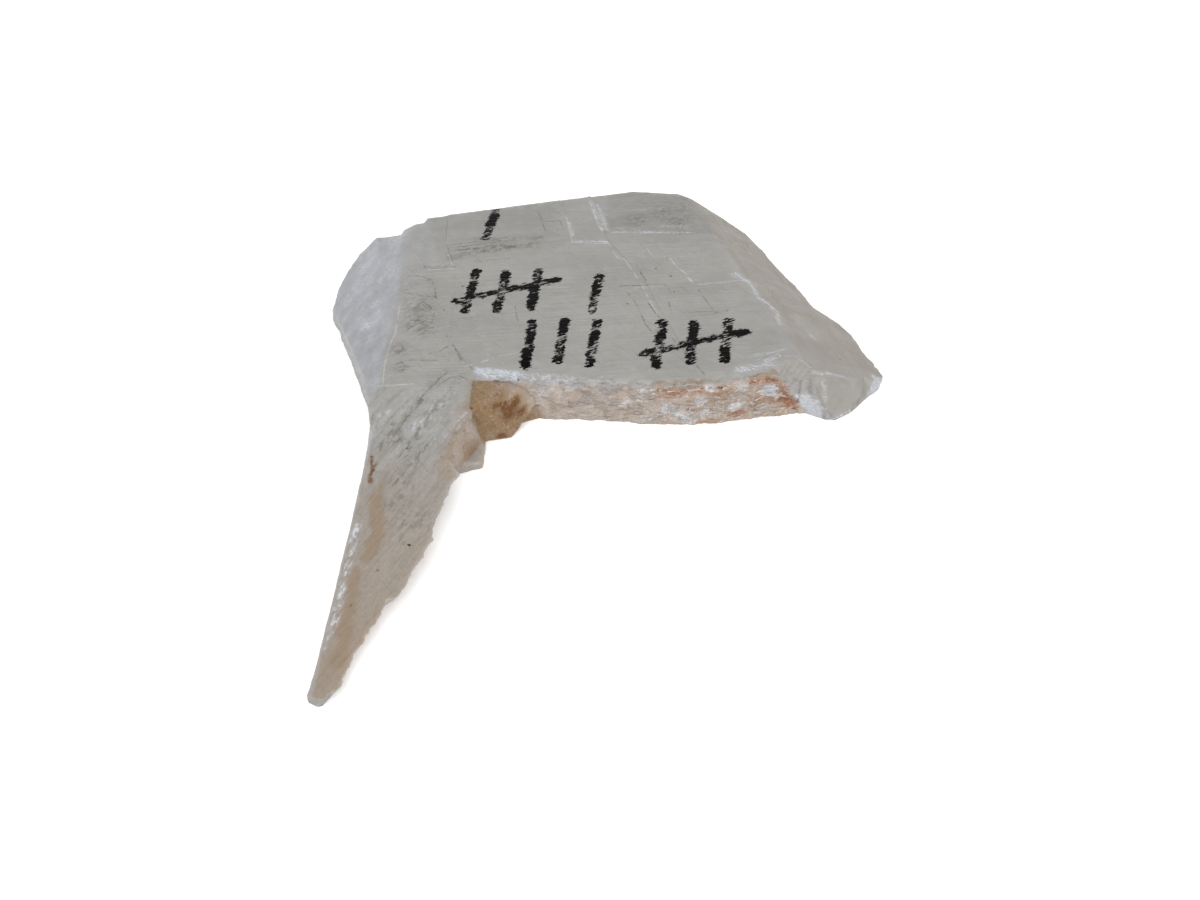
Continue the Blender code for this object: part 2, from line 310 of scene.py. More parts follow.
def normals_of(loop):
    """Outward unit normals of an anticlockwise loop of points."""
    ahead = np.roll(loop, -3, axis=0) - np.roll(loop, 3, axis=0)
    outward = np.column_stack([ahead[:, 1], -ahead[:, 0]])
    return outward / np.linalg.norm(outward, axis=1)[:, None]


def eased(values, reach):
    """Values round a loop, averaged over reach neighbours each way."""
    return sum(np.roll(values, shift, axis=0) for shift in range(-reach, reach + 1)) / (2 * reach + 1)


def outline():
    """The ragged rim, its outward normals, how far each wall leans in, and the length run along it."""
    corners, ragged, lean = [], [], []
    for points, roughness, degrees in STRETCHES:
        corners += points
        ragged += [roughness] * len(points)
        lean += [math.tan(math.radians(degrees))] * len(points)
    loop, rough, leans = [], [], []
    for i, start in enumerate(corners):
        end = corners[(i + 1) % len(corners)]
        count = max(1, round(math.dist(start, end) / STEP))
        for k in range(count):
            loop.append(np.array(start) + (np.array(end) - np.array(start)) * k / count)
            rough.append(ragged[i])
            leans.append(lean[i])
    loop = np.array(loop)
    normals = eased(normals_of(loop), 2)
    flat = np.column_stack([loop, np.zeros(len(loop))])
    teeth = fractal(flat, 2.6, 3, 5) + 0.6 * fractal(flat, 0.9, 2, 6)
    rim = loop + normals * (eased(np.array(rough), 3) * teeth)[:, None]
    length = np.concatenate([[0], np.cumsum(np.hypot(*np.diff(rim, axis=0).T))])
    return rim, normals, eased(np.array(leans), 4), length


# ---------------------------------------------------------------- the crystal's mesh

def hexagons(low, high, step):
    """Points of an even triangular net over a box."""
    rows = []
    for j, y in enumerate(np.arange(low[1], high[1], step * TRIANGLE_HEIGHT)):
        x = np.arange(low[0], high[0], step) + (j % 2) * step / 2
        rows.append(np.column_stack([x, np.full(len(x), y)]))
    return np.vstack(rows)


def inside(points, loop):
    """Which points lie within a loop."""
    within = np.zeros(len(points), dtype=bool)
    for (ax, ay), (bx, by) in zip(loop, np.roll(loop, -1, axis=0)):
        crosses = (ay > points[:, 1]) != (by > points[:, 1])
        if ay != by:
            within ^= crosses & (points[:, 0] < (bx - ax) * (points[:, 1] - ay) / (by - ay) + ax)
    return within


def from_loop(points, loop):
    """Each point's distance to a closed loop."""
    return nearest(points, np.vstack([loop, loop[:1]]))[0]


def filled(loop, step, creases=()):
    """Triangles over the inside of a loop. The loop's own points come first, in order."""
    net = hexagons(loop.min(axis=0), loop.max(axis=0), step)
    net = net[inside(net, loop)]
    clear = from_loop(net, loop) > step * CLEAR_OF_RIM
    points = [Vector(point) for point in loop]
    edges = [(i, (i + 1) % len(loop)) for i in range(len(loop))]
    for line in creases:
        clear &= nearest(net, line)[0] > step * CLEAR_OF_CREASE
        first = len(points)
        points += [Vector(point) for point in line]
        edges += [(first + i, first + i + 1) for i in range(len(line) - 1)]
    points += [Vector(point) for point in net[clear]]
    made, _, faces, origins, _, _ = geometry.delaunay_2d_cdt(points, edges, [], 1, 1e-6)
    order = {}
    for index, sources in enumerate(origins):
        for source in sources:
            order.setdefault(source, index)
    rim = [order[i] for i in range(len(loop))]
    return np.array([tuple(point) for point in made]), [tuple(face) for face in faces], rim


def dotted(line, step):
    """Points about step apart along a line."""
    dots = []
    for start, end in zip(np.array(line[:-1], dtype=float), np.array(line[1:], dtype=float)):
        count = max(1, round(math.dist(start, end) / step))
        dots += [start + (end - start) * k / count for k in range(count)]
    return np.array(dots + [line[-1]], dtype=float)


def crease_lines(rim):
    """Both sides of each cleavage step and the middle of each crack and scratch, kept within the rim."""
    offsets = [(line, (-SHEET_EDGE_HALF, SHEET_EDGE_HALF)) for line, _ in SHEET_EDGES]
    offsets += [(line, (0,)) for line in CRACKS + SCRATCHES]
    lines = []
    for line, sides in offsets:
        dense = dotted(line, CREASE_STEP)
        ahead = np.gradient(dense, axis=0)
        left = np.column_stack([-ahead[:, 1], ahead[:, 0]]) / np.linalg.norm(ahead, axis=1)[:, None]
        for offset in sides:
            moved = dense + left * offset
            keep = inside(moved, rim) & (from_loop(moved, rim) > CREASE_TO_RIM)
            if keep.sum() > 1:
                lines.append(moved[keep])
    return lines


def wall_push(places, heights, along):
    """How far each point of a wall stands out, from its place, its height and the length along the rim."""
    def grain(rise, length, height, octaves, seed):
        flat = np.column_stack([along, heights - rise * along, along * 0])
        return fractal(flat, np.array([length, height, 1]), octaves, seed)

    x, y = places[:, 0], places[:, 1]
    front = smooth(-24, -20, x) * smooth(46, 42, x) * smooth(6, 4, y)
    fibres = grain(0.2, 2.6, 0.9, 4, 11)
    lumps = grain(0, 6, 3.5, 3, 12)
    layers = grain(0, 9, 0.8, 2, 13)
    broken = grain(0, 3, 2, 4, 14)
    return front * (0.30 * fibres + 0.30 * lumps) + (1 - front) * (0.16 * layers + 0.22 * broken)


def crystal_mesh():
    """Points in millimetres, faces, and which points belong to the broken walls."""
    rim, outward, lean, length = outline()
    count = len(rim)
    plan, faces, ring = filled(rim, STEP, crease_lines(rim))
    height = top_height(plan)
    points = [np.column_stack([plan, height])]
    wall = [np.zeros(len(plan))]
    along = [np.zeros(len(plan))]
    rim_height = height[ring]
    foot = rim - outward * (lean * rim_height)[:, None]
    undercut = eased(smooth(0.05, 0.25, lean), 4)[:, None]
    foot = foot * (1 - undercut) + eased(foot, 6) * undercut
    previous = list(ring)
    total = len(plan)
    for row in range(1, WALL_ROWS + 1):
        share = row / WALL_ROWS
        place = rim * (1 - share) + foot * share
        level = rim_height * (1 - share)
        swell = wall_push(place, level, length) * math.sin(math.pi * share) ** 0.5
        place = place + outward * (swell * np.clip(rim_height / 4, 0, 1))[:, None]
        points.append(np.column_stack([place, level]))
        wall.append(np.ones(count))
        along.append(length)
        current = list(range(total, total + count))
        for i in range(count):
            j = (i + 1) % count
            faces.append((previous[i], current[i], current[j], previous[j]))
        previous = current
        total += count
    base_plan, base_faces, base_ring = filled(place, BASE_STEP)
    spare = {index: previous[i] for i, index in enumerate(base_ring)}
    for index in range(len(base_plan)):
        if index not in spare:
            spare[index] = total
            total += 1
    on_ring = set(base_ring)
    inner = [index for index in range(len(base_plan)) if index not in on_ring]
    points.append(np.column_stack([base_plan[inner], np.zeros(len(inner))]))
    wall.append(np.zeros(len(inner)))
    along.append(np.zeros(len(inner)))
    faces += [tuple(spare[index] for index in reversed(face)) for face in base_faces]
    return np.vstack(points), faces, np.concatenate(wall), np.concatenate(along)


def new_piece(name, points, faces):
    """A mesh object in the frame, from points in the drawing's millimetres."""
    placed = (points + np.array([DRAWING_ZERO[0], DRAWING_ZERO[1], 0])) * MM
    mesh = bpy.data.meshes.new(name)
    mesh.from_pydata(placed.tolist(), [], faces)
    mesh.validate()
    return added(name, mesh)


# ---------------------------------------------------------------- where the stone is marked

# Worn pen strokes, counted off like a tally: the lower end and the upper end of each.
STROKES = [
    ((-26.7, 52.9), (-25.1, 65.2)),
    ((-29.5, 24.5), (-28, 39)), ((-22.5, 24), (-21.2, 38.5)), ((-15.2, 25), (-14, 39.5)),
    ((-31.5, 28), (-9.5, 36)), ((-1.8, 24), (-0.2, 37.5)),
    ((-15.5, 5.5), (-14.4, 20)), ((-8.8, 6.5), (-7.6, 20.5)), ((-2.2, 5.5), (-0.6, 20)),
    ((11.6, 5), (13.4, 20)), ((18.6, 6), (20.2, 19.5)), ((25.6, 6.5), (27.6, 20.5)),
    ((8.8, 9), (31, 16.5)),
]
STROKE_WIDTH = 2.7
# Small dark pits, in the frame's millimetres.
PITS = [
    (-34.7, -41.6, 6.1), (18.9, 54.1, 11.3), (27, 42.8, 11), (28.5, 39, 11), (30.2, 41.8, 11),
    (22, 25.9, 11), (21.1, 36.1, 11), (-43.4, -0.4, 11),
]

# Bands of a mark are each a line, a half-width and a strength. Spots are each x, y, radius and strength,
# and those of the wall have a height in place of y.
FROST_BANDS = [
    ([(-2.2, 69), (-1.2, 63.9), (-0.2, 59.4), (0.8, 56.4)], 0.55, 0.75),
    ([(-0.6, 68.4), (0.6, 63), (1.6, 58.4), (2.4, 56)], 0.45, 0.6),
    ([(3, 55.8), (8, 55.9), (13, 55.9)], 0.6, 1), ([(14, 55.9), (21, 55.6)], 0.5, 0.75),
    ([(4, 57.6), (11, 57.4)], 0.7, 0.35), ([(15, 58.6), (21.5, 58.4)], 1, 0.35),
    ([(-5.6, 51.8), (1.4, 51.3)], 0.55, 0.85), ([(-7.4, 60), (-6.2, 53)], 0.5, 0.5),
    ([(30.6, 37.6), (32.4, 36.6), (34.2, 35.4)], 1.1, 1), ([(34.2, 34), (34.6, 30.8)], 0.8, 0.6),
    ([(35.2, 29.4), (37.2, 28), (38.2, 25.6)], 0.9, 0.8),
    ([(38.9, 25.4), (38.4, 22.6), (38.8, 20.4)], 0.6, 0.75),
    ([(28.6, 3.4), (32, 4.2), (35.4, 5.2)], 1.2, 0.75), ([(34, 6.4), (37.2, 8.2)], 0.5, 0.6),
    ([(31, 7.6), (35, 9)], 0.5, 0.45), ([(44, 4.6), (46, 4.8), (48, 5.8)], 0.5, 0.75),
    ([(48, 5.9), (52.4, 6.3)], 0.4, 0.5), ([(43, 26), (46, 19.5)], 1.5, 0.35),
    ([(-44.8, -37), (-45.3, -41)], 0.9, 0.7), ([(-45, -41), (-45.9, -50)], 0.8, 0.6),
    ([(-45.9, -51), (-46.3, -55)], 0.9, 0.7), ([(-46, -55), (-46.9, -63)], 0.8, 0.6),
    ([(-29.9, -14.3), (-26.6, -8.5)], 1.1, 0.45), ([(-36.6, -12.2), (-30, -1.6)], 1.6, 0.42),
    ([(-40.6, -10), (-36, -1)], 1, 0.25),
]
END_FROST = [([(46, 8.6), (46.9, 5)], 0.5, 0.5), ([(46.6, 3), (47.4, 0.6)], 0.7, 0.7)]
FROST_SPOTS = [
    (-42.4, -9.4, 1.6, 0.7), (-38.4, -48.4, 0.6, 0.7), (-50.8, 23, 2, 0.6), (-50.3, 30.6, 2, 0.5),
    (-51.9, 48.6, 2.6, 0.4), (-55.5, 40, 3, 0.35), (-49, 12, 1.8, 0.3),
]
WALL_FROST = [
    (35.4, 7.4, 1.5, 1.6), (34.4, 7.9, 0.9, 1.2), (13.8, 4.8, 1.8, 0.9), (15.6, 3.4, 1.7, 1.1),
    (17.2, 2.4, 1.2, 1), (20.6, 6.3, 1.2, 1), (21.8, 2.8, 1.2, 1.1), (18.5, 1.3, 1.5, 1.1),
    (27.6, 4.2, 1.1, 1), (29, 4.6, 1, 1.1), (29, 9.2, 1.7, 0.6), (22, 10.2, 1, 1.2),
    (22.9, 9.6, 0.8, 1.1), (-6.2, 9.4, 1.6, 0.6), (0, 6.8, 1.8, 0.45), (8.6, 10, 1.9, 0.7),
    (10.8, 9.4, 1.2, 0.8), (9.6, 1.8, 1.6, 0.5), (-12, 7.2, 1.8, 0.6), (-9.4, 8.6, 1.5, 0.5),
    (33.4, 2.2, 1, 0.6), (-2.6, 4, 1.5, 0.4), (5.6, 5.4, 1.6, 0.5),
]
WALL_WHITE = [
    (35.5, 7.3, 1.4, 1.7), (34.4, 7.9, 1, 1.2), (36.3, 6.7, 0.8, 1.2), (13.2, 5.2, 1, 0.7),
    (14.6, 4.2, 1, 0.8), (16, 3, 1.1, 0.9), (17.2, 2.2, 0.8, 0.8), (20.4, 6.4, 0.9, 0.8),
    (21.8, 2.8, 1, 0.85), (18.2, 1.6, 1, 0.8), (19.4, 0.9, 0.8, 0.8), (27.4, 4.2, 0.8, 0.8),
    (28.8, 4.7, 0.8, 0.9), (29.6, 4.9, 0.6, 0.8), (28.6, 9.4, 1.1, 0.6), (21.7, 10.3, 0.8, 0.9),
    (22.8, 9.5, 0.7, 0.9), (8, 10.3, 1.1, 0.7), (10.4, 9.9, 0.9, 0.7), (-11.6, 7.2, 0.9, 0.6),
    (-9.6, 8.2, 0.8, 0.55), (-3.4, 9.6, 0.8, 0.55), (4.4, 5.6, 0.9, 0.5), (11, 2, 0.9, 0.6),
]
ARM_TAN = [([(-25.8, -7), (-27, -12), (-28.4, -17), (-29.4, -24)], 2.3, 1)]
TOP_ORANGE = [
    ([(-42.2, -30.5), (-41.4, -34.5), (-41, -39), (-42, -43.9)], 1.6, 1),
    ([(-44, -47), (-43.9, -54), (-44.6, -60)], 1.5, 0.9), ([(-43.9, -61.5), (-45, -66)], 1.9, 0.9),
    ([(-40.8, -24), (-41.6, -28.5)], 0.7, 0.7), ([(31, 1.2), (34.8, 2.2), (35.6, 3)], 0.9, 0.9),
    ([(11, -0.2), (24, 0.2)], 1, 0.6),
]
WALL_ORANGE = [
    ([(11.5, 9.2), (16.5, 8.9), (20.5, 9.9)], 1.4, 1.1), ([(22, 8.6), (28.5, 8.3)], 1.2, 0.8),
    ([(19, 0.4), (24.6, 0.6)], 0.9, 1), ([(26.4, 2.4), (30.4, 2.2)], 0.9, 0.9),
    ([(31, 10.4), (36, 10)], 1, 1.1), ([(33, 5.4), (36, 4.6), (39.4, 3.4)], 1.8, 0.8),
]
TAB_STREAK = [([(-27.2, -14.2), (-26.2, -12.4), (-25.2, -10.6), (-23.9, -7.8)], 0.3, 0.7)]
CORNER_BROWN = [
    (-18.6, 5.6, 2.6, 1.9), (-21.3, 8.1, 1.1, 1.8), (-16.4, 4.2, 1.4, 1.7), (-20.4, 0.9, 1.6, 1.8),
    (-17.6, 6.4, 1.3, 2.1), (-19.8, 6.8, 0.8, 2.2), (-19.4, 7.6, 0.45, 3), (-20.4, 7.9, 0.45, 2.8),
    (-16.7, 4.5, 0.45, 2.8),
]
WALL_RUST_BANDS = [
    ([(31, 10.4), (32.6, 10.2)], 0.7, 0.85), ([(34.4, 10.6), (35.8, 9.8)], 0.8, 1),
    ([(24, 10), (24.9, 9.8)], 0.55, 1.4), ([(13.6, 9), (16.4, 8.2)], 0.9, 0.8),
    ([(28, 1.8), (30, 2.2)], 0.8, 0.8), ([(20, 0.2), (24, 0.4)], 0.7, 0.65),
]
WALL_RUST_SPOTS = [
    (36.3, 9.4, 1, 0.9), (37.3, 8, 1, 0.95), (38.3, 6.2, 1.3, 1.05), (38.9, 4.6, 1.6, 1.15),
    (39.8, 3.1, 1.5, 1.2), (41.3, 1.6, 1, 1), (34.6, 4.6, 0.7, 0.7),
]
TOP_RUST_BANDS = [
    ([(-26.6, -13), (-27.6, -17), (-28.8, -20.4)], 0.7, 0.85),
    ([(-44.2, -20.2), (-44, -22), (-43.6, -23.4), (-43.9, -24.8), (-43.7, -26.4)], 0.5, 1.15),
    ([(-43, -21.6), (-43.3, -23.6)], 0.35, 0.95),
]
TOP_RUST_SPOTS = [
    (-40, -46.6, 0.5, 0.8), (-35.2, -51.4, 0.7, 0.6), (-29.6, -16.4, 0.7, 0.8), (-30.6, -19.8, 0.6, 0.75),
    (-32.4, -21.4, 0.6, 0.6), (-28.6, -13.4, 0.7, 0.8), (-28, -10.6, 0.6, 0.7),
]
GRIME_SPOTS = [
    (-39.6, 26, 3.6, 0.8), (-39, 20, 3.6, 1), (-38, 16.6, 2.6, 0.7), (-42.2, 10.5, 2, 0.9),
    (-40.8, 4.3, 1.5, 0.9), (-43.6, 33, 2, 0.45), (-38, 35, 2.2, 0.45), (8.5, 61.4, 2.6, 0.9),
    (15, 64.5, 3, 0.8), (18.6, 61, 3.2, 0.8), (19, 66, 2.6, 0.6), (-40.8, -12.6, 1.8, 0.9),
    (-39.2, -15.8, 1.6, 0.8), (-42, -17, 1.5, 0.7), (-38.2, -26, 1.8, 1), (-36.4, -29.6, 1.8, 0.9),
    (-35.6, -35, 3.2, 0.6), (-31.6, -36, 2.6, 0.5), (-39.4, -32, 1.4, 0.7), (-36, -39.6, 1.8, 0.5),
]
GRIME_BANDS = [
    ([(-34.1, 44.9), (-29.4, 46.8), (-20, 49.2)], 1, 1),
    ([(-33, 48.3), (-25, 49.4), (-15, 50.4)], 1.1, 0.9),
    ([(-29.4, 51.8), (-20, 52.8), (-14, 53)], 0.9, 0.7), ([(-41.2, 41), (-33, 41.5)], 0.7, 0.5),
    ([(-38, -20), (-35, -11), (-31, -3)], 1.3, 0.7),
    ([(-42.5, -17.5), (-37.5, -6), (-33, 1)], 1.1, 0.6), ([(-33, -6), (-28.5, 1.6)], 0.8, 0.6),
    ([(-37, -24), (-34, -17)], 1, 0.7),
]


def spots(points, places):
    """How strongly soft round spots cover each point."""
    total = np.zeros(len(points))
    for x, y, radius, strength in places:
        away = np.hypot(points[:, 0] - x, points[:, 1] - y) / radius
        total = np.maximum(total, strength * np.exp(-away * away))
    return total


def bands(points, lines):
    """How strongly soft bands along lines cover each point."""
    total = np.zeros(len(points))
    for line, width, strength in lines:
        away = nearest(points[:, :2], line)[0] / width
        total = np.maximum(total, strength * np.exp(-away * away))
    return total


def distance_to(plan, lines):
    return np.minimum.reduce([nearest(plan, line)[0] for line in lines])


class Ground:
    """The surface's points, and how far each lies on each part of the crystal."""

    def __init__(self, points, on_wall):
        x, y, z = points.T
        self.points = points
        self.wall = on_wall
        self.upper = 1 - on_wall
        self.face = np.column_stack([x, z])
        self.past_end = x + 0.62 * (z - 4)
        self.past_lip = nearest(points[:, :2], [(-26.2, 5.4), (9, 0.2)])[1]
        self.arm = smooth(2, -6, y + 0.1 * (x + 45)) * smooth(-22, -27, x)
        self.front = on_wall * smooth(-27, -23, x) * smooth(10, 7, y) * smooth(41.4, 40.6, self.past_end)


def frost_of(on):
    """White haze: along the cracks, on the lip, on the lobe and down the arm's bevelled edge."""
    x, y, z = on.points.T
    lip = on.upper * smooth(0.2, -0.4, on.past_lip) * smooth(15, 2, x) * smooth(-26.2, -25.7, x)
    lip_end = smooth(-14, -21, x) * smooth(-2.8, -1.7, on.past_lip)
    end = smooth(40.6, 42, on.past_end) * smooth(8, 5, y)
    tip = smooth(56, 57, x - 0.3 * z) * smooth(13, 11, y) * smooth(4.6, 3.6, z)
    foot = smooth(1.6, 0.6, z) * smooth(46.5, 47.5, x) * smooth(54, 52, x) * smooth(6, 4, y)
    return np.maximum.reduce([
        bands(on.points, FROST_BANDS),
        spots(on.points, FROST_SPOTS),
        lip * (0.28 + 0.14 * smooth(2, -10, x) + 0.46 * lip_end),
        0.42 * on.front * smooth(8.8, 10.4, z) * smooth(10, 0, x) * smooth(-25, -20, x),
        0.8 * end * smooth(47.4, 46.6, x + 0.25 * z) * smooth(6.2, 4.8, z + 0.15 * (x - 42)),
        end * bands(on.face, END_FROST),
        0.55 * np.maximum(tip, foot),
        on.front * spots(on.face, WALL_FROST),
    ])


def white_of(on):
    """Solid white: the broken end's foot, the tip's chip, the lip's end and patches on the front wall."""
    x, y, z = on.points.T
    end = smooth(40.8, 41.8, on.past_end) * smooth(8, 5, y) * smooth(47.3, 46.5, x + 0.25 * z)
    lip = smooth(0, -0.5, on.past_lip) * smooth(-2.5, -1.5, on.past_lip) * on.upper
    return np.maximum.reduce([
        0.74 * end * smooth(5.1, 3.8, z + 0.15 * (x - 42)),
        0.58 * smooth(56.4, 57.2, x - 0.3 * z) * smooth(13, 11, y) * smooth(4.4, 3.8, z),
        0.62 * lip * smooth(-14, -19, x) * smooth(-26.2, -25.7, x),
        on.front * spots(on.face, WALL_WHITE),
    ])


def tan_of(on):
    """Pale brown over the front wall, the arm and the arm's walls."""
    x, y, z = on.points.T
    return np.maximum.reduce([
        on.front * (1 - 0.7 * smooth(8.2, 10, z + 0.6 * np.sin(0.9 * x)) * smooth(10, 4, x)),
        on.arm * (0.35 * smooth(-14, -26, y) + 0.35 * smooth(-24, -48, y) + 0.3 * smooth(-46, -64, y)),
        on.arm * bands(on.points, ARM_TAN),
        0.7 * on.wall * smooth(-24, -27, x) * smooth(12, -24, y),
    ])


def corner_of(on):
    """Golden brown soaked into the inner corner. Above 1 it is darker."""
    x, y, z = on.points.T
    block = smooth(-11.5, -16.5, x + 0.7 * (z - 3)) * smooth(-29, -27, x) * smooth(10.9, 10.2, z)
    depth = 0.25 + 0.75 * smooth(-9.4, -7.6, y)
    depth -= 0.22 * smooth(-20, -15, x) * smooth(5, 8, z) + 0.2 * smooth(3.4, 1.6, z) * smooth(-4, -6, y)
    spill = smooth(-28, -25.4, x) * smooth(-24, -25, x) * smooth(-9, -7, y) * smooth(2.5, 0.5, y)
    return np.maximum(0.5 * on.upper * spill, on.wall * np.maximum.reduce([
        block * depth * smooth(8, 5, y),
        smooth(-7, -8, y) * smooth(7.4, 6, z) * bands(on.points, TAB_STREAK),
        smooth(-9, -7, y) * smooth(8, 5, y) * spots(on.face, CORNER_BROWN),
    ]))


def rust_of(on):
    """Rust on the front wall and in specks on the arm."""
    return np.maximum.reduce([
        on.front * bands(on.face, WALL_RUST_BANDS),
        on.wall * smooth(8, 6, on.points[:, 1]) * spots(on.face, WALL_RUST_SPOTS),
        on.upper * bands(on.points, TOP_RUST_BANDS),
        on.upper * spots(on.points, TOP_RUST_SPOTS),
    ])


def ribs_of(on):
    """Ribs spreading like a fan over the hollow beside the broken end."""
    x, y, z = on.points.T
    fan = np.arctan2(y + 2, x - 34.5)
    ribs = 0.5 + 0.5 * np.sin(52 * fan + 2.6 * fractal(on.points, 4, 3, 41))
    hollow = smooth(36.2, 38.4, x + 0.62 * (z - 8)) * smooth(46.6, 45.4, x) * smooth(8, 5.6, y)
    return ribs * hollow * smooth(4.6, 6, z) * smooth(11.6, 11, z)


def grey_and_shade_of(on):
    """The stone's own grey on the tab's foot and the wall round the arm's tip, and painted shade on the
    broken end, darker where it turns from the light.
    """
    x, y, z = on.points.T
    end = smooth(40.8, 42.6, on.past_end) * smooth(11, 7.5, y) * smooth(10.8, 9.6, z)
    tab = smooth(-23, -23.8, x) * smooth(-32, -30, x) * smooth(-4, -7, y) * smooth(3.4, 2.4, z)
    return np.maximum(
        end * (0.15 + 0.85 * smooth(45, 46.6, x)), on.wall * np.maximum(0.45 * tab, smooth(-66, -69, y)))


def bevel_sheen_of(on):
    """The left bevel, painted lighter and bluish as lit from the left, and a painted sheen over the first
    sheets beside it.
    """
    x, y, _ = on.points.T
    soft = 0.2 + 1.8 * smooth(34, 52, y)
    edge = x + 0.5 * fractal(on.points, 3, 3, 31)
    back = smooth(40.2, 41.2, y)
    back_sheen = 0.35 * smooth(-35, -36.6, x + 0.25 * (y - 41)) * back
    sheen = back_sheen + 0.2 * smooth(-37, -41, x) * smooth(4, 10, y) * (1 - back)
    return np.maximum(smooth(-44.6 + soft, -45.4 - soft, edge) * smooth(-6, 2, y), on.upper * sheen)


def marks(points, on_wall):
    """Every mark on the stone at each point, by name."""
    on = Ground(points, on_wall)
    x, y, z = points.T
    upper, front = on.upper, on.front
    off_top = 9 * on_wall
    return {
        "frost": frost_of(on),
        "white": white_of(on),
        "tan": tan_of(on),
        "orange": np.maximum(
            upper * bands(points, TOP_ORANGE),
            front * np.maximum(0.42 * smooth(3, 15, x), bands(on.face, WALL_ORANGE))),
        "corner": corner_of(on),
        "rust": rust_of(on),
        "grime": upper * smooth(-50, -45, x - 0.05 * y) * np.maximum(
            spots(points, GRIME_SPOTS), bands(points, GRIME_BANDS)),
        "gloom": upper * np.maximum.reduce([
            0.9 * smooth(55, 55.6, y) * smooth(0.5, 2.5, x),
            0.65 * smooth(44, 60, y) * smooth(-6, -12, x) * smooth(-44, -40, x),
            0.30 * smooth(50.5, 51.5, y) * smooth(-14, -8, x),
        ]),
        "bevel": bevel_sheen_of(on),
        "side": smooth(-0.2, 0.6, (x - 41.8) * 0.953 + (y - 9.1) * 0.303) * smooth(4, 14, y) * upper,
        "arm": on.arm * upper,
        # The arm's bevelled left edge, where it is painted lighter as lit from the left.
        "strip": smooth(0.15, 0.7, arm_face(x, y) - arm_edge(x, y)) * smooth(-9, -14, y) * upper,
        "wall": on_wall,
        "ribs": ribs_of(on),
        "dull": grey_and_shade_of(on),
        "splintery": front * (0.35 + 0.65 * smooth(-16, -6, x)) * smooth(0.4, 1.2, z) * smooth(10.9, 10, z),
        "crack": distance_to(points[:, :2], CRACKS) + off_top,
        "scratch": distance_to(points[:, :2], SCRATCHES) + off_top,
        "ink": distance_to(points[:, :2], STROKES) + off_top,
    }


def add_marks(piece, points, on_wall, along):
    """Stores every mark on the piece's points, for its material."""
    for name, numbers in (marks(points, on_wall) | {"along": along}).items():
        stored = piece.data.attributes.new(name, "FLOAT", "POINT")
        stored.data.foreach_set("value", np.ascontiguousarray(numbers, dtype=np.float32))


# ---------------------------------------------------------------- nodes

class Wire:
    """A socket of a node tree. Arithmetic on it adds Math nodes."""

    def __init__(self, tree, socket):
        self.tree = tree
        self.socket = socket

    def __add__(self, other):
        return self.tree.maths("ADD", self, other)

    def __sub__(self, other):
        return self.tree.maths("SUBTRACT", self, other)

    def __rsub__(self, other):
        return self.tree.maths("SUBTRACT", other, self)

    def __mul__(self, other):
        return self.tree.maths("MULTIPLY", self, other)

    def __truediv__(self, other):
        return self.tree.maths("DIVIDE", self, other)

    __radd__ = __add__
    __rmul__ = __mul__


class Tree:
    """Adds nodes to a node tree and joins them."""

    def __init__(self, nodes):
        self.nodes = nodes

    def node(self, kind, settings=None, inputs=None, output=0):
        """Adds a node with its settings, then its inputs by name or number. Returns one of its outputs."""
        made = self.nodes.nodes.new(kind)
        for key, value in (settings or {}).items():
            setattr(made, key, value)
        for key, value in (inputs or {}).items():
            if isinstance(value, Wire):
                self.nodes.links.new(value.socket, made.inputs[key])
            else:
                made.inputs[key].default_value = value
        return Wire(self, made.outputs[output])

    def maths(self, operation, *values):
        return self.node("ShaderNodeMath", {"operation": operation}, dict(enumerate(values)))


class Paint(Tree):
    """A material and the nodes it is mixed from."""

    def __init__(self, name):
        self.material = bpy.data.materials.new(name)
        self.material.use_nodes = True
        super().__init__(self.material.node_tree)
        self.nodes.nodes.clear()

    def ramp(self, value, low, high):
        """0 at low, 1 at high, and an even curve between."""
        settings = {"interpolation_type": "SMOOTHSTEP"}
        return self.node("ShaderNodeMapRange", settings, {"Value": value, "From Min": low, "From Max": high})

    def blend(self, share, first, second):
        """Two colours, mixed by share."""
        return self.node("ShaderNodeMix", {"data_type": "RGBA"}, {0: share, 6: first, 7: second}, output=2)

    def turned(self, place, degrees, size):
        """place, turned so that a pattern's x runs at degrees, and divided by its grain on each axis."""
        turn = {"Vector": place, "Rotation": (0, 0, -math.radians(degrees))}
        run = self.node("ShaderNodeMapping", {"vector_type": "POINT"}, turn)
        return self.node("ShaderNodeVectorMath", {"operation": "DIVIDE"}, {0: run, 1: size})

    def noise(self, place, scale=1, detail=3, roughness=0.55, distortion=0):
        """Noise from about 0 to about 1, with a grain of 1 over scale."""
        made = self.node("ShaderNodeTexNoise", None, {
            "Vector": place, "Scale": scale, "Detail": detail, "Roughness": roughness,
            "Distortion": distortion})
        return self.ramp(made, 0.28, 0.72)

    def finish(self, **shaders):
        """Joins the shaders to the output, by its inputs' names."""
        out = self.nodes.nodes.new("ShaderNodeOutputMaterial")
        for name, wire in shaders.items():
            self.nodes.links.new(wire.socket, out.inputs[name])
        return self.material


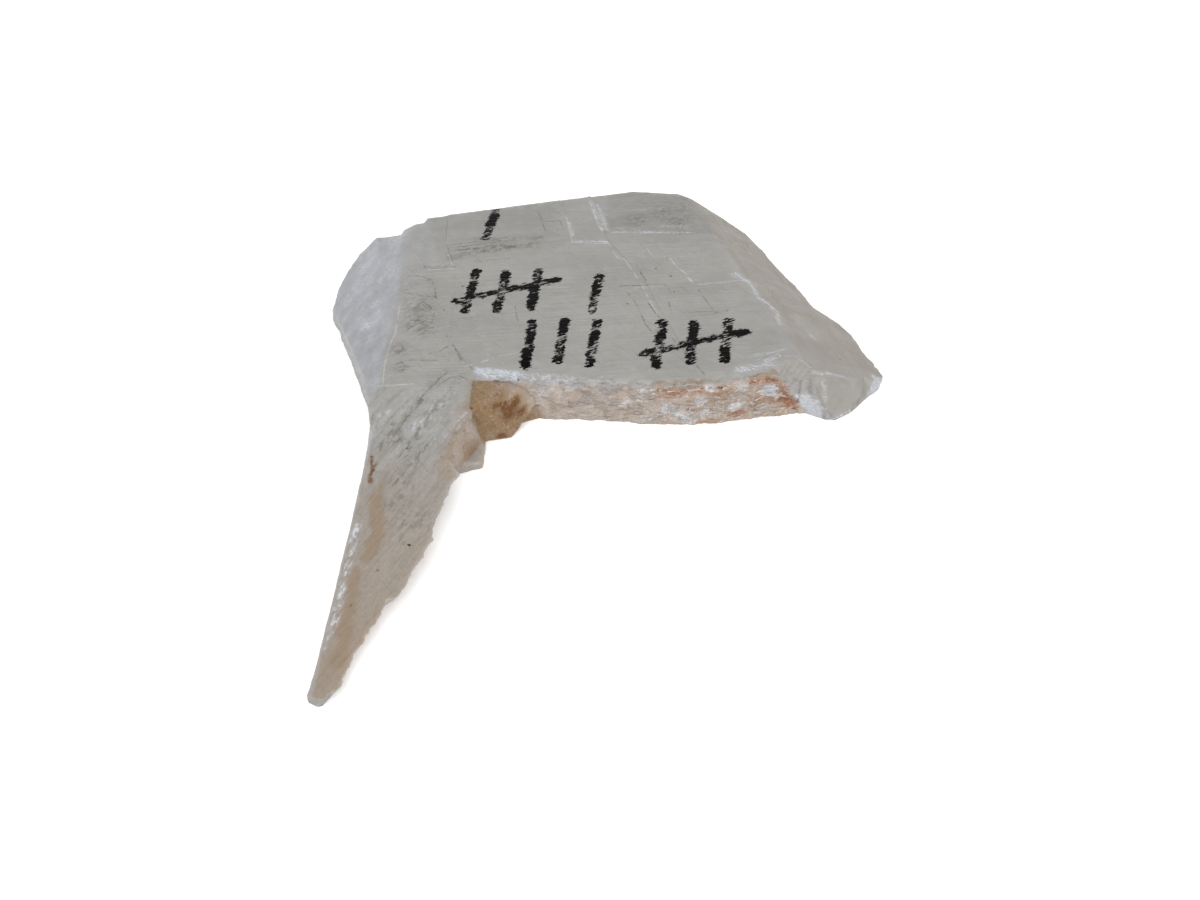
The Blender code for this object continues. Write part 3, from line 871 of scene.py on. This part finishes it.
class Growth(Tree):
    """A Geometry Nodes tree with named inputs, grown on a copy of a piece's mesh."""

    def __init__(self, name, **inputs):
        super().__init__(bpy.data.node_groups.new(name, "GeometryNodeTree"))
        face = self.nodes.interface
        face.new_socket("Geometry", in_out="INPUT", socket_type="NodeSocketGeometry")
        face.new_socket("Geometry", in_out="OUTPUT", socket_type="NodeSocketGeometry")
        self.values = {}
        for key, (kind, value) in inputs.items():
            socket = face.new_socket(key, in_out="INPUT", socket_type=kind)
            self.values[socket.identifier] = value
        self.source = self.nodes.nodes.new("NodeGroupInput")

    def given(self, name):
        return Wire(self, self.source.outputs[name])

    def grow(self, name, mesh, result):
        """A plain mesh object of what the tree makes from mesh."""
        out = self.nodes.nodes.new("NodeGroupOutput")
        self.nodes.links.new(result.socket, out.inputs["Geometry"])
        base = added(name + "_base", mesh)
        modifier = base.modifiers.new("growth", "NODES")
        modifier.node_group = self.nodes
        for identifier, value in self.values.items():
            modifier[identifier] = value
        grown = bpy.data.meshes.new_from_object(base.evaluated_get(bpy.context.evaluated_depsgraph_get()))
        bpy.data.objects.remove(base)
        grown.name = name
        return added(name, grown)


# ---------------------------------------------------------------- materials

STONE_LEVEL = 1.06
MARKS = (
    "frost", "tan", "orange", "rust", "corner", "grime", "gloom", "bevel", "side", "arm", "strip", "wall",
    "ribs", "dull", "shine", "white", "crack", "scratch", "ink", "along",
)


def tint(red, green, blue):
    """The stone's colour where it shows as these display values."""
    def linear(value):
        share = value / 255
        return share / 12.92 if share <= 0.04045 else ((share + 0.055) / 1.055) ** 2.4
    return tuple(STONE_LEVEL * linear(value) for value in (red, green, blue)) + (1,)


class Stone(Paint):
    """The crystal's material: colours laid one over another, with grains sized in millimetres."""

    def __init__(self, name):
        super().__init__(name)
        place = self.node("ShaderNodeTexCoord", output="Object")
        self.mm = self.node("ShaderNodeVectorMath", {"operation": "SCALE"}, {0: place, "Scale": 1 / MM})
        self.height = self.node("ShaderNodeSeparateXYZ", None, {0: self.mm}, output="Z")
        self.mark = SimpleNamespace(**{
            mark: self.node("ShaderNodeAttribute", {"attribute_name": mark}, output="Fac") for mark in MARKS})
        self.mottle = self.noise(self.mm, 0.45, 4, 0.6)
        self.fine = self.noise(self.mm, 1.8, 3, 0.65)
        self.striae = self.grain(6, (14, 0.8, 3))
        self.streaks = self.grain(62, (10, 1.5, 3))
        self.fibres = self.wall_grain((1.2, 0.7), 0.25, 5, 0.7, 0.6)
        self.flecks = self.wall_grain((1, 0.45), 0.7, 4, 0.75, 0.8)

    def grain(self, degrees, size, detail=4, roughness=0.6, distortion=0):
        """Noise drawn out at an angle, with a grain of size along it, across it and through the stone."""
        return self.noise(self.turned(self.mm, degrees, size), 1, detail, roughness, distortion)

    def wall_grain(self, size, slant, detail, roughness, distortion):
        """Noise drawn out round the walls, with a grain of size along the rim and up the wall."""
        run = self.mark.along
        place = {0: run / size[0], 1: self.height / size[1] - run * slant}
        return self.noise(self.node("ShaderNodeCombineXYZ", None, place), 1, detail, roughness, distortion)

    def scattered(self, scale):
        """The distance from points scattered through the stone, over their spacing."""
        inputs = {"Vector": self.mm, "Scale": scale}
        return self.node("ShaderNodeTexVoronoi", None, inputs, output="Distance")

    def capped(self, value, limit=1):
        return self.maths("MINIMUM", value, limit)

    def between(self, grain, first, second):
        """A colour that a grain varies between two tints."""
        return self.blend(grain, tint(*first), tint(*second))

    def lay(self, share, colour):
        """Lays a tint, or a colour that is already mixed, over what is there."""
        self.colour = self.blend(share, self.colour, colour if isinstance(colour, Wire) else tint(*colour))

    def lay_bare_stone(self):
        """Clouds and mottling, sheets and striae on the plate, streaks down the arm, and the two bevels, the
        left one painted lighter and bluish as lit from the left, with painted glints, and the arm's left edge
        painted lighter as lit from the left.
        """
        mark, mottle, fine, ramp = self.mark, self.mottle, self.fine, self.ramp
        clouds = self.noise(self.mm, 0.07, 2, 0.5)
        self.colour = self.between(clouds, (158, 156, 152), (165, 163, 159))
        self.lay(mark.gloom, (146, 145, 142))
        slips = self.grain(108, (9, 1.6, 3), 3)
        self.lay(mark.side, self.between(slips, (148, 141, 131), (158, 153, 144)))
        # The left bevel: painted lighter and bluish as lit from the left, with painted bright glints where
        # the grains run high.
        drops = self.grain(80, (6, 3, 4))
        bevel = self.between(drops, (159, 160, 164), (176, 179, 184))
        bevel = self.blend(ramp(drops * 0.5 + fine * 0.5, 0.66, 0.84) * 0.7, bevel, tint(194, 196, 202))
        self.lay(mark.bevel, bevel)
        self.lay(ramp(mottle, 0.6, 1) * 0.30, (175, 175, 175))
        self.lay(ramp(mottle, 0.35, 0) * 0.30, (146, 144, 139))
        face = (1 - mark.wall) * (1 - mark.arm) * (1 - mark.bevel)
        sheets = self.grain(9, (22, 5, 6), 3, 0.55, 0.4)
        self.lay(ramp(sheets, 0.50, 0.72) * face * 0.25, (169, 167, 163))
        self.lay(ramp(sheets, 0.40, 0.18) * face * 0.25, (150, 148, 144))
        self.lay(ramp(self.striae, 0.72, 1) * ramp(clouds, 0.3, 0.8) * face * 0.32, (138, 135, 129))
        pale = self.noise(self.mm, 0.9, 3, 0.6)
        self.lay(ramp(self.streaks, 0.55, 0.95) * mark.arm * 0.5, (176, 175, 173))
        self.lay(ramp(self.streaks, 0.46, 0.05) * mark.arm * 0.6, (138, 135, 128))
        self.lay(ramp(pale, 0.62, 0.9) * mark.arm * 0.35, (178, 176, 173))
        self.lay(ramp(pale, 0.34, 0.08) * mark.arm * 0.3, (140, 134, 126))
        # The arm's bevelled left edge, painted lighter as lit from the left.
        self.lay(mark.strip * 0.9, self.between(mottle, (166, 163, 163), (177, 175, 178)))

    def lay_stains(self):
        """Tan, orange, golden brown and rust, on the fibrous walls too. Returns where the rust lies."""
        mark, mottle, fine, fibres, ramp = self.mark, self.mottle, self.fine, self.fibres, self.ramp
        top_tan = mark.tan * (1 - mark.strip * 0.6) * (1 - mark.wall)
        self.lay(top_tan, self.between(fine, (150, 138, 124), (164, 150, 137)))
        self.lay(mark.wall, self.between(fibres, (168, 167, 166), (186, 186, 188)))
        self.lay(mark.tan * mark.wall, self.between(fibres, (179, 163, 149), (193, 180, 168)))
        # Grey: the stone's own grey, and painted shade over the broken end.
        self.lay(mark.dull * 0.9, self.between(mottle, (147, 144, 138), (159, 156, 151)))
        self.lay(mark.ribs * 0.6, (146, 138, 129))
        patch = ramp(mark.orange + (mottle - 0.5) * 0.5 + (fine - 0.5) * 0.25, 0.30, 0.72)
        self.lay(patch * 0.8, self.between(mark.wall, (151, 131, 110), (174, 133, 103)))
        golden = self.between(fine * 0.6 + fibres * 0.4, (126, 98, 63), (172, 144, 110))
        darker = ramp(mark.corner + (fine - 0.5) * 1.1 + (fibres - 0.5) * 0.6, 0.9, 1.9)
        golden = self.blend(darker, golden, tint(114, 74, 34))
        self.lay(self.capped(mark.corner * (0.6 + fine * 0.9)), golden)
        rusty = ramp(mark.rust + (mottle - 0.5) * 0.7 + (fine - 0.5) * 0.3, 0.45, 0.85)
        deep = ramp(mark.rust + (fine - 0.5) * 0.6, 0.65, 1.15)
        self.lay(rusty * 0.8, self.between(mark.wall, (136, 106, 80), (166, 112, 80)))
        self.lay(deep * 0.8, self.between(mark.wall, (100, 74, 52), (134, 82, 52)))
        return rusty

    def lay_breaks(self, rusty):
        """White breaks inside the stone: haze, flecks on the walls and hairline cracks, with painted glints
        over the haze, on shining splinters and scattered over the walls and the whole stone. Returns the
        haze.
        """
        mark, mottle, fine, flecks, ramp = self.mark, self.mottle, self.fine, self.flecks, self.ramp
        frost = self.capped(mark.frost)
        level = self.grain(-6, (2, 0.5, 1), 4, 0.7)
        crossing = self.grain(-44, (1.7, 0.5, 1), 4, 0.7)
        down_arm = self.grain(78, (3, 0.9, 1.5), 4, 0.65)
        wisps = self.blend(mark.arm, self.maths("MAXIMUM", level, crossing) * 0.9, down_arm)
        # Painted glints over the haze.
        glints = ramp(wisps * 0.68 + fine * 0.32, 0.52, 0.74) * ramp(mark.frost, 0.12, 0.65)
        haze = frost * (0.12 + ramp(wisps, 0.3, 0.75) * 0.55) * (1 - mark.wall * 0.4)
        self.lay(haze, (192, 196, 204))
        self.lay(glints * 0.75, (216, 220, 228))
        milk = ramp(mark.white + (fine - 0.5) * 0.5 + (flecks - 0.5) * 0.35, 0.38, 0.78)
        self.lay(milk * 0.85, (199, 205, 215))
        bare = mark.wall * (1 - self.capped(mark.corner) * 0.8) * (1 - mark.dull * 0.7)
        bare = bare * (1 - rusty * 0.75) * (0.25 + 0.75 * self.maths("MAXIMUM", mark.tan, frost))
        curls = self.wall_grain((2.4, 1.3), 0.1, 4, 0.6, 1.6)
        curl = ramp(self.maths("ABSOLUTE", curls - 0.5), 0.09, 0.02)
        curl = curl * ramp(flecks * 0.5 + mottle * 0.5 + frost * 0.2, 0.54, 0.70)
        fleck_and_glint = ramp(flecks + (mottle - 0.5) * 0.5 + mark.frost * 0.28, 0.74, 0.90)
        # Splinters stored as shining are painted white as glints, among the real flecks.
        fleck_and_glint = self.maths("MAXIMUM", self.maths("MAXIMUM", fleck_and_glint, curl), ramp(mark.shine, 0.72, 0.86))
        thick = self.capped(mark.orange * 0.6 + frost * 0.5 + 0.45, 0.85)
        self.lay(fleck_and_glint * bare * thick, (226, 223, 222))
        # Painted glints: tiny bright points scattered over the walls.
        wall_glints = ramp(self.scattered(1.25) + (fine - 0.5) * 0.12, 0.13, 0.06) * ramp(mottle, 0.40, 0.60)
        self.lay(wall_glints * mark.wall * 0.8, (228, 228, 230))
        crack = ramp(mark.crack + (fine - 0.5) * 0.25, 0.20, 0.05) * ramp(mottle, 0.05, 0.45)
        self.lay(crack * 0.6, (203, 204, 207))
        # Painted glints: tiny bright points scattered over the whole stone.
        self.lay(ramp(self.scattered(0.45), 0.085, 0.05) * 0.6, (200, 202, 205))
        return haze

    def lay_dirt(self):
        """Dirt rubbed in and held in scratches, dark specks and pits."""
        mark, mottle, fine, ramp = self.mark, self.mottle, self.fine, self.ramp
        hatch = self.grain(40, (1.4, 0.7, 1), 4, 0.7, 0.6)
        dabs = self.grain(62, (1.8, 0.75, 1), 3)
        dirt = ramp(hatch, 0.30, 0.75) * (1 - mark.arm) + ramp(dabs, 0.54, 0.72) * mark.arm
        self.lay(mark.grime * dirt * 0.72, (96, 92, 84))
        scored = ramp(mark.scratch + (fine - 0.5) * 0.30, 0.22, 0.04) * ramp(mottle, 0.1, 0.55)
        self.lay(scored * 0.58, (88, 84, 78))
        scores = self.grain(128, (9, 0.35, 2), 2, 0.5)
        self.lay(ramp(scores, 0.92, 1) * (1 - mark.wall) * 0.3, (120, 117, 112))
        self.lay(ramp(self.scattered(0.14), 0.045, 0.028) * 0.8, (60, 55, 50))
        for pit in PITS:
            ends = {0: self.mm, 1: pit}
            away = self.node("ShaderNodeVectorMath", {"operation": "DISTANCE"}, ends, output="Value")
            self.lay(ramp(away + (fine - 0.5) * 0.3, 0.42, 0.22), (45, 38, 34))

    def lay_strokes(self):
        """Worn black pen strokes. Returns where the ink lies."""
        rubbed = self.grain(24, (1.5, 0.42, 1), 3, 0.7)
        worn = self.noise(self.mm, 0.32, 2, 0.5)
        cover = self.capped((1 - self.mark.ink / (STROKE_WIDTH * 0.64)) * 1.7)
        ink = self.ramp(cover * 0.80 + rubbed * 0.75 + worn * 0.45, 1.12, 1.20)
        self.colour = self.blend(ink, self.colour, (0.002, 0.002, 0.002, 1))
        return ink


def selenite_material():
    stone = Stone("selenite")
    mark, mottle, fine = stone.mark, stone.mottle, stone.fine
    stone.lay_bare_stone()
    haze = stone.lay_breaks(stone.lay_stains())
    stone.lay_dirt()
    ink = stone.lay_strokes()
    plate = (1 - mark.wall) * (1 - mark.arm)
    rough = 0.36 + mark.wall * 0.12 + haze * 0.12 + (mottle - 0.5) * 0.12 + mark.tan * 0.08
    relief = (stone.striae - 0.5) * plate * 0.10 + (stone.streaks - 0.5) * mark.arm * 0.30
    relief = relief + (fine - 0.5) * 0.05
    relief = relief + ((stone.fibres - 0.5) * 0.22 + (stone.flecks - 0.5) * 0.16) * mark.wall
    relief = relief + haze * (fine - 0.5) * 0.25
    normal = stone.node("ShaderNodeBump", None, {"Strength": 0.6, "Distance": 0.001, "Height": relief})
    # The metallic share keeps light from coming up through the strokes from inside the stone.
    shader = stone.node("ShaderNodeBsdfPrincipled", {"subsurface_method": "RANDOM_WALK"}, {
        "Base Color": stone.colour, "Metallic": ink * 0.9, "Roughness": rough, "Normal": normal,
        "IOR": 1.52, "Transmission Weight": 0.35, "Specular IOR Level": 0.15,
        "Subsurface Weight": 0.5, "Subsurface Radius": (0.0030, 0.0028, 0.0026), "Subsurface Scale": 1,
    })
    depth = stone.node("ShaderNodeVolumeAbsorption", None, {"Color": (0.80, 0.79, 0.75, 1), "Density": 90.0})
    return stone.finish(Surface=shader, Volume=depth)


def floor_material():
    paint = Paint("pale_floor")
    place = paint.node("ShaderNodeTexCoord", output="Object")
    grain = paint.noise(place, 40, 2, 0.5)
    colour = paint.blend(grain, (0.94, 0.94, 0.94, 1), (0.96, 0.96, 0.96, 1))
    return paint.finish(Surface=paint.node("ShaderNodeBsdfPrincipled", None, {
        "Base Color": colour, "Roughness": 0.9, "Specular IOR Level": 0.1,
        "Emission Color": (1, 1, 1, 1), "Emission Strength": 0.08}))


# ---------------------------------------------------------------- pieces

def wrapped(name, hulls, rounding):
    """The points, normals and faces of one closed mesh over several convex lumps, its creases rounded."""
    joined = bmesh.new()
    for corners in hulls:
        before = set(joined.verts)
        for corner in corners:
            joined.verts.new(corner)
        fresh = [v for v in joined.verts if v not in before]
        made = bmesh.ops.convex_hull(joined, input=fresh)
        spare = made["geom_interior"] + made["geom_unused"]
        spare = list({item for item in spare if isinstance(item, bmesh.types.BMVert)})
        bmesh.ops.delete(joined, geom=spare, context="VERTS")
    mesh = bpy.data.meshes.new(name)
    joined.to_mesh(mesh)
    joined.free()
    piece = added(name, mesh)
    remesh = piece.modifiers.new("wrap", "REMESH")
    remesh.mode = "VOXEL"
    remesh.voxel_size = RUBBLE_STEP
    soften = piece.modifiers.new("soften", "SMOOTH")
    soften.factor = 0.5
    soften.iterations = rounding
    evaluated = piece.evaluated_get(bpy.context.evaluated_depsgraph_get())
    solid = bpy.data.meshes.new_from_object(evaluated)
    points = np.empty(len(solid.vertices) * 3)
    solid.vertices.foreach_get("co", points)
    normals = np.empty(len(solid.vertices) * 3)
    solid.vertices.foreach_get("normal", normals)
    faces = [tuple(face.vertices) for face in solid.polygons]
    bpy.data.objects.remove(piece)
    return points.reshape(-1, 3), normals.reshape(-1, 3), faces


def make_rubble():
    points, normals, faces = wrapped("rubble", list(RUBBLE.values()), rounding=9)
    push = 0.16 * fractal(points, 2, 4, 21) + 0.16 * fractal(points, np.array([4, 4, 0.8]), 3, 22)
    push *= smooth(0, 0.4, points[:, 2])
    points = points + normals * push[:, None]
    # Kept just off the floor and under the plate's top.
    points[:, 2] = np.clip(points[:, 2], 0.02, PLATE_TOP - 0.4)
    piece = new_piece("corner_rubble", points, faces)
    add_marks(piece, points, np.ones(len(points)), points[:, 0] + points[:, 1])
    return piece


def make_crystal():
    points, faces, wall, along = crystal_mesh()
    piece = new_piece("crystal", points, faces)
    add_marks(piece, points, wall, along)
    return piece


def make_splinters(base, material):
    """Short splinters lying along the broken front wall."""
    growth = Growth(
        "wall_splinters", Density=("NodeSocketFloat", 900000.0), Material=("NodeSocketMaterial", material),
        Shortest=("NodeSocketVector", (0.0007, 0.00025, 0.00012)),
        Longest=("NodeSocketVector", (0.0032, 0.0007, 0.0005)))

    def stored(name):
        return growth.node("GeometryNodeInputNamedAttribute", {"data_type": "FLOAT"}, {"Name": name})

    def between(low, high, kind, seed):
        sockets = {"FLOAT": (2, 3, 1), "FLOAT_VECTOR": (0, 1, 0)}[kind]
        return growth.node("FunctionNodeRandomValue", {"data_type": kind}, {
            sockets[0]: low, sockets[1]: high, "Seed": seed}, output=sockets[2])

    density = growth.given("Density") * stored("splintery")
    roots = growth.node("GeometryNodeDistributePointsOnFaces", {"distribute_method": "RANDOM"}, {
        "Mesh": growth.given("Geometry"), "Density": density, "Seed": 4})
    normal = Wire(growth, roots.socket.node.outputs["Normal"])
    # A random shine on each splinter, which the stone's material paints white as a glint.
    shiny = growth.node("GeometryNodeStoreNamedAttribute", {"data_type": "FLOAT", "domain": "POINT"}, {
        "Geometry": roots, "Name": "shine", "Value": between(0, 1, "FLOAT", 7)})
    lie = growth.node("FunctionNodeAlignRotationToVector", {"axis": "Z"}, {"Vector": normal})
    slant = growth.node("ShaderNodeCombineXYZ", None, {0: 1, 1: 0, 2: between(-0.45, 0.60, "FLOAT", 5)})
    lie = growth.node("FunctionNodeAlignRotationToVector", {"axis": "X", "pivot_axis": "Z"}, {
        "Rotation": lie, "Vector": slant})
    shard = growth.node("GeometryNodeMeshCone", {"fill_type": "NGON"}, {
        "Vertices": 5, "Radius Top": 0.12, "Radius Bottom": 0.5, "Depth": 1.0})
    shard = growth.node("GeometryNodeTransform", None, {
        "Geometry": shard, "Translation": (-0.5, 0, 0), "Rotation": (0, math.radians(90), 0)})
    size = between(growth.given("Shortest"), growth.given("Longest"), "FLOAT_VECTOR", 6)
    placed = growth.node("GeometryNodeInstanceOnPoints", None, {
        "Points": shiny, "Instance": shard, "Rotation": lie, "Scale": size})
    made = growth.node("GeometryNodeRealizeInstances", None, {"Geometry": placed})
    finish = {"Geometry": made, "Material": growth.given("Material")}
    return growth.grow("wall_splinters", base, growth.node("GeometryNodeSetMaterial", None, finish))


def dress(piece, material):
    """Smooth shading with crisp edges, the material, the body it moves with and its colour slot."""
    piece.data.shade_smooth()
    piece.data.set_sharp_from_angle(angle=math.radians(CRISP))
    piece.data.materials.clear()
    piece.data.materials.append(material)
    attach(piece, "root")


stone = selenite_material()
crystal = make_crystal()
rubble = make_rubble()
splinters = make_splinters(crystal.data.copy(), stone)
for piece in (crystal, rubble, splinters):
    dress(piece, stone)
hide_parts(NODE)


# ---------------------------------------------------------------- floor, light and camera

def soft_light(name, direction, strength, spread):
    """Even light from one side of the studio. spread is its width in degrees."""
    lamp = bpy.data.lights.new(name, "SUN")
    lamp.energy = strength
    lamp.angle = math.radians(spread)
    added(name, lamp).rotation_euler = Vector(direction).to_track_quat("-Z", "Y").to_euler()


def make_stage():
    mesh = bpy.data.meshes.new("floor")
    half = 3.0
    corners = [(-half, -half, 0), (half, -half, 0), (half, half, 0), (-half, half, 0)]
    mesh.from_pydata(corners, [], [(0, 1, 2, 3)])
    mesh.materials.append(floor_material())
    floor = added("floor", mesh)

    world = bpy.data.worlds.new("studio")
    world.use_nodes = True
    world.node_tree.nodes["Background"].inputs["Color"].default_value = (1, 1, 1, 1)
    world.node_tree.nodes["Background"].inputs["Strength"].default_value = 0.53
    bpy.context.scene.world = world
    soft_light("overhead", (0.04, 0.30, -1), 2.15, 70)
    soft_light("front", (-0.22, 1, -0.60), 1.5, 60)

    camera = added("camera", bpy.data.cameras.new("camera"))
    camera.data.lens = 39.0
    camera.data.sensor_width = 36.0
    camera.data.clip_start = 0.01
    camera.location = (0.0002, -0.2066, 0.178)
    camera.rotation_euler = (math.radians(48), 0, 0)
    bpy.context.scene.camera = camera
    bpy.context.scene.view_settings.view_transform = "Standard"


make_stage()
